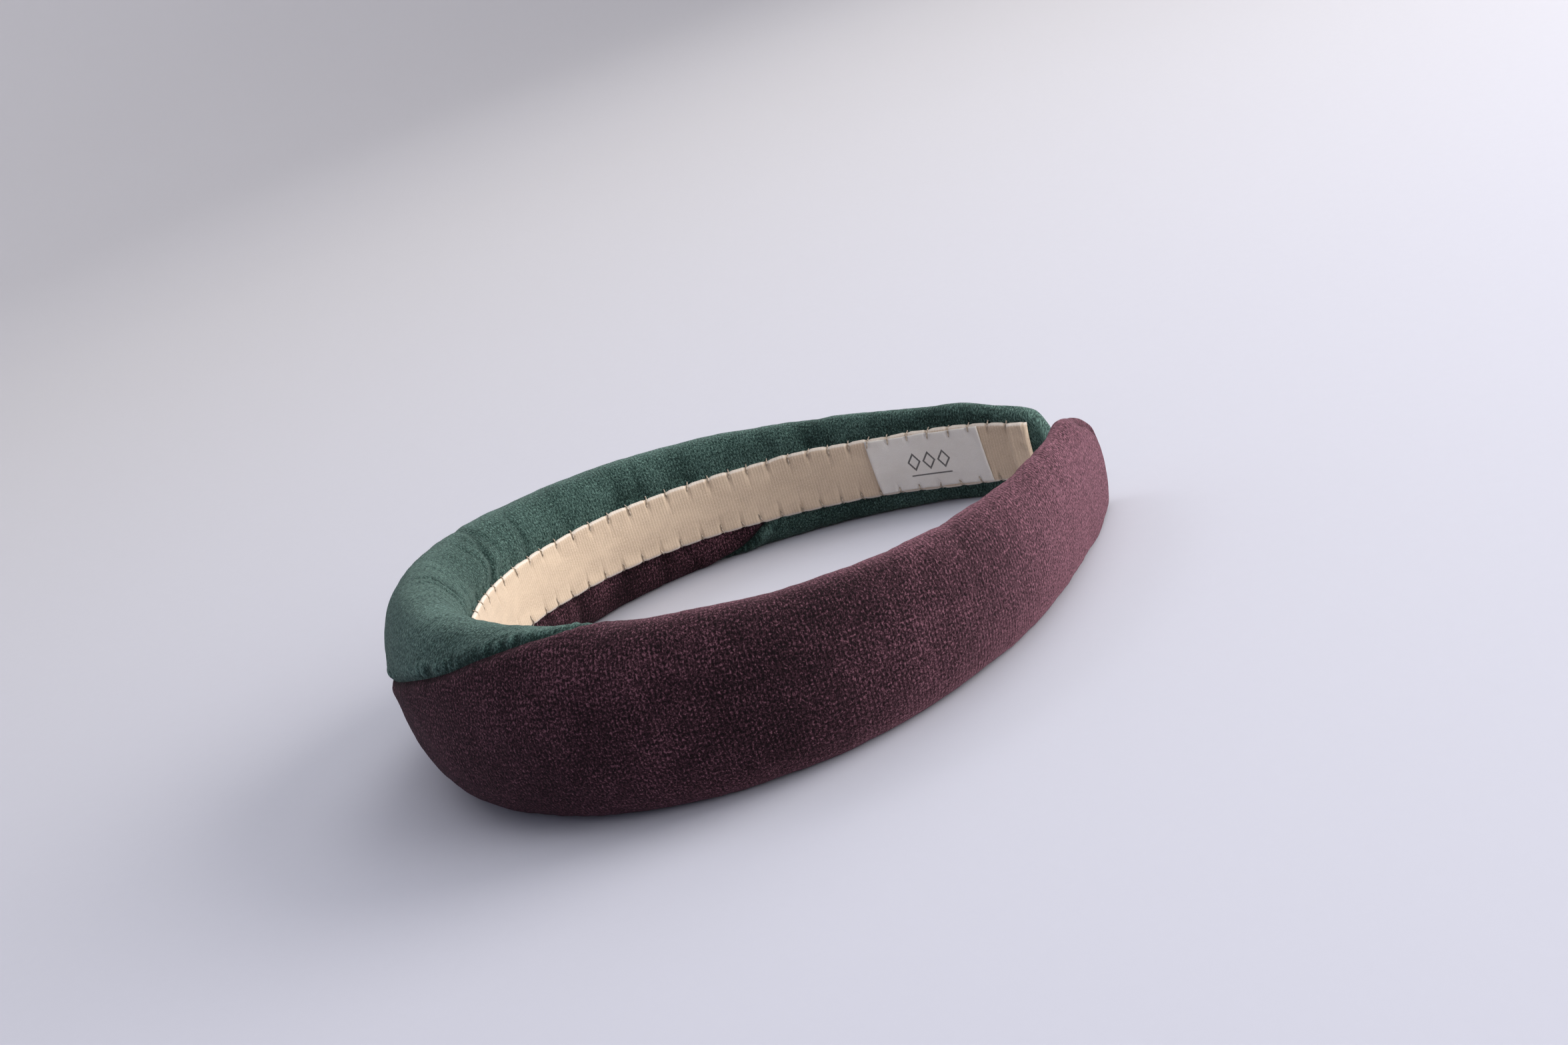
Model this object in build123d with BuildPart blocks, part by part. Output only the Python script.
from build123d import *
import math
import os

# Padded velvet headband: a one-piece plastic core band, a foam pad around it, a two-colour velvet
# cover joined by a slanting seam across the crown, a cotton lining strip sewn over the cover's
# turned edges on the inside, and a small cloth label caught under the lining's hem stitches.
#
# Frame, in millimetres: +Z is up with the headband lying on its side on a table. Z = 0 is the
# table, touched by the lower rim at the crown and at both tips. +X runs from the crown to the
# open ends. -Y is the burgundy arm and +Y the green arm.
#
# A place on the band is given by
#   s      distance along the lining face from the crown, + on the burgundy arm, - on the green
#   depth  distance outward from the lining face, away from the head
#   z      height across the band's width, from its middle
#   u      share of the way from crown to tip, 0 to 1

# ---------------------------------------------------------------- padded shape
half_length = 197.5              # along the lining face, crown to tip
turn = (2.533, 1.011, -0.673, -0.145)  # curvature of each arm: cosine terms, in radians
plan_steps = 1600                # integration steps along one arm
run_step = 7.0                   # longest useful spacing of spline points along the band

crown_half_width = 20.8
tip_half_width = 10.3            # just before the rounded tip
width_power = 1.42
crown_thick = 19.0               # padded thickness
tip_thick = 6.9
thick_power = 1.59
thick_swell = 1.38               # extra fullness of the arms between crown and tip
tip_round = 9.9                  # length of the rounded tip
tip_power = 3.2                  # how blunt the tip is
tip_least_width = 0.2            # shares of the size that are left at the very tip
tip_least_thick = 0.32
outer_power = 2.24               # how square the section is on the outside
inner_power = 2.52               # and on the inside
heart = 0.45                     # where the section is widest, as a share of its thickness

body_sections = 16               # evenly spaced sections on each arm, short of the tip
body_margin = 1.3                # they stop this many tip lengths from the end
tip_sections = (0.95, 0.66, 0.42, 0.24, 0.11, 0.03)  # tip lengths from the end

# ---------------------------------------------------------------- velvet and its seam
velvet_thick = 1.3
rest_flat = 0.25                 # how far the soft rim is pressed flat where it rests
raw_edge_half = 5.2              # the velvet's turned edges stop this far from the middle
raw_edge_end = 7.0               # from the lining's end to the end of the gap between the edges

# (s, distance round the cloth from the outer middle, + is up)
seam_line = (
    (-150, -38), (-134, -33), (-123, -28), (-114, -23.6), (-88, -16), (-48, -6), (-8, 4.3),
    (12, 10.2), (24, 13.7), (32, 16.8), (40, 19.8), (47, 22.5), (54, 26), (66, 32),
    (80, 39.2), (94, 46),
)
seam_from = -133.0               # the seam is under the lining by here, on the green arm
seam_to = 79.0                   # and by here on the burgundy arm
seam_steps = 22
seam_reach = 31                  # from the section's heart to well outside the cover
fan_steps = 5
seam_thread = 0.42               # width of the row of thread that joins the two panels
seam_thread_deep = 0.55

# ---------------------------------------------------------------- layers under and inside
layer_gap = 0.05                 # clearance between layers

core_half = 5.0                  # half of the core band's width
core_thick = 1.4
core_end = 6.5                   # from the tip to the core's end
core_near = velvet_thick + 2 * layer_gap
core_far = core_near + core_thick

lining_half = 7.5                # half of the lining strip's width
lining_thick = 0.55
lining_end = 3.8                 # from the tip to the lining's folded end
lining_reach = half_length - lining_end
lining_face = -layer_gap - lining_thick
hem_fold = 5.0                   # length of the folded-under hem at each end
hem_ramp = 1.2                   # length of the slope up to the fold
hem_face = lining_face - 0.45
hem_sunk = 0.1                   # the fold's overlap with the strip

label_thick = 0.22
label_half = 7.0
label_far = 14.0                 # from the green arm's tip to the label's near edge
label_length = 30.3
label_crown_end = -(half_length - label_far - label_length)
label_tip_end = -(half_length - label_far)
label_face = lining_face - layer_gap - label_thick

stitch_pitch = 5.3
stitch_over = 0.75               # how far a hem stitch starts outside the lining's edge
stitch_bite = 1.9                # and how far inside it ends
thread_r = 0.16
label_stitch_margin = 0.4        # stitches this near the label's ends still clear its face
hem_stitch_length = hem_fold + 1.4  # stitches this near the lining's ends clear the fold


# ---------------------------------------------------------------- plan curve
def integrate_plan():
    """x, y and turning angle at even steps along the burgundy arm."""
    rows = [(0.0, 0.0, 0.0)]
    x = y = angle = 0.0
    step = half_length / plan_steps
    for i in range(plan_steps):
        share = (i + 0.5) / plan_steps
        curvature = sum(c * math.cos(j * math.pi * share) for j, c in enumerate(turn)) / half_length
        middle = angle + curvature * step / 2
        x += math.sin(middle) * step
        y -= math.cos(middle) * step
        angle += curvature * step
        rows.append((x, y, angle))
    return rows


PLAN = integrate_plan()


def plan(s):
    """x, y and turning angle of the lining face at s."""
    place = min(abs(s) / half_length, 1.0) * (len(PLAN) - 1)
    i = min(int(place), len(PLAN) - 2)
    before, after = PLAN[i], PLAN[i + 1]
    x, y, angle = (before[j] + (after[j] - before[j]) * (place - i) for j in range(3))
    return (x, y, angle) if s >= 0 else (x, -y, -angle)


def at(s, depth):
    """The point of the plan at s and depth."""
    x, y, angle = plan(s)
    return x - math.cos(angle) * depth, y - math.sin(angle) * depth


def run(start, stop, depth):
    """Points along the band from start to stop at one depth."""
    count = max(int(abs(stop - start) / run_step), 3)
    return [at(start + (stop - start) * i / count, depth) for i in range(count + 1)]


# ---------------------------------------------------------------- padded section
def ease(u, crown, tip, power, swell=0.0):
    """A size that eases from its crown value to its tip value, with optional fullness."""
    u = min(max(u, 0.0), 1.0)
    eased = tip + (crown - tip) * math.cos(math.pi / 2 * u) ** power
    return eased + swell * math.sin(math.pi * u ** 1.5) ** 2


def fade(u):
    """1 along the arm, falling to 0 over the rounded tip."""
    into_tip = min(max((u - 1) * half_length / tip_round + 1, 0.0), 1.0)
    return max(1 - into_tip ** tip_power, 0.0) ** (1 / tip_power)


def section(u, inset):
    """Half width and thickness of the section, inset all round."""
    width = ease(u, crown_half_width, tip_half_width, width_power) - inset
    thick = ease(u, crown_thick, tip_thick, thick_power, thick_swell) - 2 * inset
    return width * max(fade(u), tip_least_width), thick * max(fade(u), tip_least_thick) ** 0.7


def ring_point(u, angle, inset=0.0):
    """(depth, z) at one angle round the section: 0 outward, pi/2 up, pi at the lining."""
    width, thick = section(u, inset)
    across, up = math.cos(angle), math.sin(angle)
    power = outer_power if across > 0 else inner_power
    reach = (1 - heart) * thick if across > 0 else heart * thick
    return (inset + heart * thick + math.copysign(abs(across) ** (2 / power), across) * reach,
            math.copysign(abs(up) ** (2 / power), up) * width)


def section_points(u, inset, count=20):
    return [ring_point(u, 2 * math.pi * (i + 0.5) / count, inset) for i in range(count)]


def inner_face(s, z):
    """Depth of the velvet's inner face at height z of the section at s."""
    width, thick = section(abs(s) / half_length, 0.0)
    bulge = max(1 - (abs(z) / width) ** inner_power, 0.0) ** (1 / inner_power)
    return heart * thick * (1 - bulge)


# ---------------------------------------------------------------- resting frame
def rest():
    """Lean about Y, and the lift and X shift that rest the band on the table, centred in X."""
    points = []
    for i in range(301):
        u = i / 300
        for depth, z in section_points(u, 0.0, 96):
            points.append((at(u * half_length, depth)[0], z))
    crown_points = [p for p in points if p[0] < 40]
    tip_points = [p for p in points if p[0] > 90]
    lean = 0.0

    def drop(p):
        return p[0] * math.sin(lean) - p[1] * math.cos(lean)

    # the lowest points change with the lean, so it is found by repetition
    for _ in range(12):
        crown_low = max(crown_points, key=drop)
        tip_low = max(tip_points, key=drop)
        lean = math.atan2(tip_low[1] - crown_low[1], tip_low[0] - crown_low[0])
    across = [p[0] * math.cos(lean) + p[1] * math.sin(lean) for p in points]
    return lean, drop(crown_low), (max(across) + min(across)) / 2


LEAN, LIFT, MIDDLE_X = rest()


def world_dir(x, y, z):
    return (x * math.cos(LEAN) + z * math.sin(LEAN), y,
            z * math.cos(LEAN) - x * math.sin(LEAN))


def world(x, y, z):
    leant_x, leant_y, leant_z = world_dir(x, y, z)
    return leant_x - MIDDLE_X, leant_y, leant_z + LIFT - rest_flat


def station(s):
    """Plane across the band at s: local x outward from the head, local y up the band's width."""
    x, y, angle = plan(s)
    out_x, out_y = -math.cos(angle), -math.sin(angle)
    return Plane(origin=world(x, y, 0), x_dir=world_dir(out_x, out_y, 0),
                 z_dir=world_dir(out_y, -out_x, 0))


# plane of the plan curve, halfway up the band's width
MIDDLE = Plane(origin=world(0, 0, 0), x_dir=world_dir(1, 0, 0), z_dir=world_dir(0, 0, 1))


# ---------------------------------------------------------------- shared forms
def padded_sections(inset):
    """Sketches across the band, closer together at the rounded tips."""
    limit = half_length - inset
    tip_share = tip_round / half_length
    side = [i / body_sections * (1 - body_margin * tip_share) for i in range(body_sections + 1)]
    side += [1 - tip_share * k for k in tip_sections]
    made = []
    for u in [-v for v in reversed(side[1:])] + side:
        with BuildSketch(station(u * limit)) as cut:
            with BuildLine():
                Spline(*section_points(abs(u), inset), periodic=True)
            make_face()
        made.append(cut.sketch)
    return made


def padded_form(inset):
    """The whole padded shape, solid."""
    with BuildPart() as form:
        for face in padded_sections(inset):
            add(face)
        loft()
    return form.part


def band_slab(low_points, high_points, half_width):
    """A slab that follows the band between two runs of points."""
    with BuildPart() as slab:
        with BuildSketch(MIDDLE):
            with BuildLine():
                low = Spline(*low_points)
                high = Spline(*high_points)
                Line(low @ 0, high @ 0)
                Line(low @ 1, high @ 1)
            make_face()
        extrude(amount=half_width, both=True)
    return slab.part


def even_slab(start, stop, near, far, half_width):
    """A slab of even thickness from start to stop, between two depths."""
    return band_slab(run(start, stop, near), run(start, stop, far), half_width)


# ---------------------------------------------------------------- seam
def seam_round(s):
    """Distance of the seam round the cloth at s: a smooth cubic through seam_line."""
    i = max(j for j in range(1, len(seam_line) - 2) if seam_line[j][0] <= s)
    (s0, v0), (s1, v1), (s2, v2), (s3, v3) = seam_line[i - 1:i + 3]
    f = (s - s1) / (s2 - s1)
    slope1 = (v2 - v0) / (s2 - s0) * (s2 - s1)
    slope2 = (v3 - v1) / (s3 - s1) * (s2 - s1)
    return (v1 * (2 * f ** 3 - 3 * f ** 2 + 1) + slope1 * (f ** 3 - 2 * f ** 2 + f)
            + v2 * (3 * f ** 2 - 2 * f ** 3) + slope2 * (f ** 3 - f ** 2))


def seam_ray(s):
    """Depth of the section's heart at s, and the unit direction from it to the seam."""
    u = abs(s) / half_length
    goal = seam_round(s)
    degrees, gone, last = 0.0, 0.0, ring_point(u, 0.0)
    while gone < abs(goal) and degrees < 172.0:
        degrees += 0.5
        here = ring_point(u, math.radians(math.copysign(degrees, goal)))
        gone += math.dist(last, here)
        last = here
    core = heart * section(u, 0.0)[1]
    length = math.hypot(last[0] - core, last[1])
    return core, ((last[0] - core) / length, last[1] / length)


def fan_points(s):
    """Outline from the section's heart: out to the seam, then over the top to the lining."""
    core, way = seam_ray(s)
    first = math.atan2(way[1], way[0])
    points = [(core, 0)]
    for k in range(fan_steps + 1):
        angle = first + (math.pi - first) * k / fan_steps
        points.append((core + seam_reach * math.cos(angle), seam_reach * math.sin(angle)))
    return points


def thread_points(s):
    """Narrow rectangle from the section's heart out through the seam."""
    core, (way_x, way_y) = seam_ray(s)
    side_x, side_y = -way_y * seam_thread / 2, way_x * seam_thread / 2
    far_x, far_y = core + seam_reach * way_x, seam_reach * way_y
    return [(core + side_x, side_y), (far_x + side_x, far_y + side_y),
            (far_x - side_x, far_y - side_y), (core - side_x, -side_y)]


def seam_loft(outline):
    """Ruled loft along the seam through the outline at each place."""
    with BuildPart() as lofted:
        for i in range(seam_steps + 1):
            s = seam_from + (seam_to - seam_from) * i / seam_steps
            with BuildSketch(station(s)):
                with BuildLine():
                    Polyline(*outline(s), close=True)
                make_face()
        loft(ruled=True)
    return lofted.part


def make_green_side():
    """Everything on the green side of the seam: the fan, and a block over the rest of the arm."""
    fan = seam_loft(fan_points)
    inside = at(seam_from, -24)
    with BuildPart() as green_side:
        add(fan)
        with BuildSketch(MIDDLE.offset(-60)):
            with BuildLine():
                Polyline(inside, at(seam_from, 45), (110, 120), (220, 120), (220, 3),
                         (inside[0], 3), close=True)
            make_face()
        extrude(amount=120)
    return green_side.part


# ---------------------------------------------------------------- velvet cover
cover_outside = padded_form(0.0)
cover_inside = padded_form(velvet_thick)
raw_edge_reach = half_length - lining_end - raw_edge_end
raw_edge_slot = even_slab(-raw_edge_reach, raw_edge_reach, -1.5, velvet_thick + 0.6,
                          raw_edge_half)


def make_seam_thread():
    """The row of thread in the seam, on the wrong side of the cloth."""
    seam_depth = padded_form(velvet_thick - seam_thread_deep)
    seam_slab = seam_loft(thread_points)
    with BuildPart() as thread:
        add(seam_depth)
        add(cover_inside, mode=Mode.SUBTRACT)
        add(raw_edge_slot, mode=Mode.SUBTRACT)
        add(seam_slab, mode=Mode.INTERSECT)
    return thread.part


def make_cover_shell(seam_thread_part):
    """Both velvet panels in one, pressed flat where they rest on the table."""
    with BuildPart() as table:
        with Locations((0, 0, -10)):
            Box(400, 400, 20)
    with BuildPart() as shell:
        add(cover_outside)
        add(cover_inside, mode=Mode.SUBTRACT)
        add(raw_edge_slot, mode=Mode.SUBTRACT)
        add(table.part, mode=Mode.SUBTRACT)
        add(seam_thread_part, mode=Mode.SUBTRACT)
    return shell.part


def make_panel(shell, green_side, mode):
    """One velvet panel: what the green side keeps of the shell, or leaves of it."""
    with BuildPart() as panel:
        add(shell)
        add(green_side, mode=mode)
    return panel.part


# ---------------------------------------------------------------- core band and foam pad
def make_core_band():
    reach = half_length - core_end
    slab = even_slab(-reach, reach, core_near, core_far, core_half)
    with BuildPart() as core_band:
        add(slab)
        # the ends are rounded across the band's width
        fillet([e for e in edges() if abs(e.length - core_thick) < 0.05], radius=core_half - 0.6)
    return core_band.part


def make_foam_pad():
    """The pad inside the velvet, open on its inner face to take the core band."""
    pad_outside = padded_form(velvet_thick + layer_gap)
    reach = half_length - core_end + layer_gap
    channel = even_slab(-reach, reach, velvet_thick - 0.3, core_far + layer_gap,
                        core_half + layer_gap)
    with BuildPart() as foam_pad:
        add(pad_outside)
        add(channel, mode=Mode.SUBTRACT)
    return foam_pad.part


# ---------------------------------------------------------------- lining strip and label
def make_lining_strip():
    """The strip, with a folded hem raised on the head side at each end."""
    strip = even_slab(-lining_reach, lining_reach, lining_face, -layer_gap, lining_half)
    fold_start = lining_reach - hem_fold
    hems = [
        band_slab(run(sign * fold_start, sign * lining_reach, hem_face),
                  run(sign * (fold_start - hem_ramp), sign * lining_reach, lining_face + hem_sunk),
                  lining_half)
        for sign in (-1, 1)
    ]
    with BuildPart() as lining_strip:
        add(strip)
        for hem in hems:
            add(hem)
    return lining_strip.part


def make_fabric_label():
    return even_slab(label_crown_end, label_tip_end, label_face, lining_face - layer_gap,
                     label_half)


# ---------------------------------------------------------------- hem stitches
def over_label(s):
    return label_tip_end - label_stitch_margin < s < label_crown_end + label_stitch_margin


def cloth_at(s):
    """Depth of the cloth face that a stitch at s comes down to."""
    if over_label(s):
        return label_face
    return hem_face if abs(s) > lining_reach - hem_stitch_length else lining_face


def hem_stitch(s, side):
    """One stitch from the velvet, over the lining's edge, down to the cloth: side 1 is upper."""
    z_out = side * (lining_half + stitch_over)
    z_in = side * (lining_half - stitch_bite)
    surface = cloth_at(s) - layer_gap
    over = surface - thread_r
    root = inner_face(s, z_out + side * thread_r) - layer_gap
    with BuildPart() as stitch:
        with BuildLine(station(s)) as path:
            FilletPolyline((root, z_out), (over, z_out), (over, z_in), (surface, z_in),
                           radius=thread_r * 0.95)
        with BuildSketch(Plane(origin=path.line @ 0, z_dir=path.line % 0)):
            Circle(thread_r)
        sweep()
    return stitch.part


def stitch_row(places, sides):
    stitches = [hem_stitch(s, side) for s in places for side in sides]
    with BuildPart() as row:
        add(stitches)
    return row.part


stitch_count = int(lining_reach / stitch_pitch)
stitch_places = [i * stitch_pitch for i in range(-stitch_count, stitch_count + 1)]
on_label = [s for s in stitch_places if over_label(s)]
off_label = [s for s in stitch_places if not over_label(s)]

# ---------------------------------------------------------------- pieces and files
panel_seam_thread = make_seam_thread()
cover_shell = make_cover_shell(panel_seam_thread)
green_half = make_green_side()

pieces = {
    "velvet_cover_green": make_panel(cover_shell, green_half, Mode.INTERSECT),
    "velvet_cover_burgundy": make_panel(cover_shell, green_half, Mode.SUBTRACT),
    "panel_seam_thread": panel_seam_thread,
    "foam_pad": make_foam_pad(),
    "core_band": make_core_band(),
    "lining_strip": make_lining_strip(),
    "fabric_label": make_fabric_label(),
    "upper_hem_stitches": stitch_row(off_label, (1,)),
    "lower_hem_stitches": stitch_row(off_label, (-1,)),
    "label_stitches": stitch_row(on_label, (-1, 1)),
}

os.makedirs("parts", exist_ok=True)
for name, piece in pieces.items():
    piece.label = name
    export_step(piece, f"parts/{name}.step")
